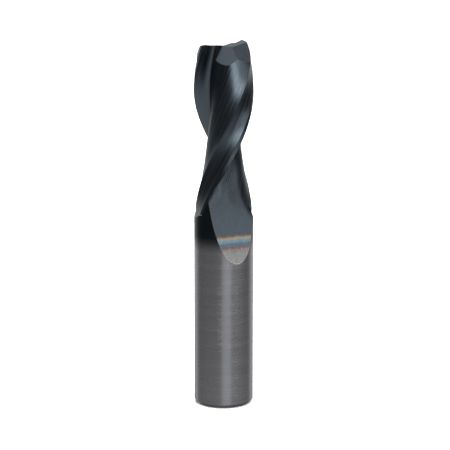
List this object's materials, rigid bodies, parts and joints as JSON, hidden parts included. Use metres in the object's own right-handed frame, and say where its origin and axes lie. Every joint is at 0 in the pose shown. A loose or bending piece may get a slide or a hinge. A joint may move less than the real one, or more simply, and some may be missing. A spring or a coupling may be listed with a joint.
{
  "type": "end mill",
  "caption": "Square solid-carbide end mill with helical flutes, centre-cutting end teeth and a plain cylindrical shank.",
  "frame": {"origin": "centre of the shank's rear face, on the tool axis", "axes": "+Z along the tool axis towards the end teeth; +X to the right and -Y towards the viewer of the reference view"},
  "size_m": [0.012, 0.012, 0.074],
  "materials": {
    "bare_carbide": "centreless-ground bare tungsten carbide",
    "coat_edge": "ground carbide where the dark coating fades out",
    "coated_carbide": "ground carbide under a thin blue-black hard coating"
  },
  "bodies": {
    "root": {"shank": "bare_carbide", "flute_runout": "coat_edge", "cutting_end": "coated_carbide"}
  },
  "joints": []
}
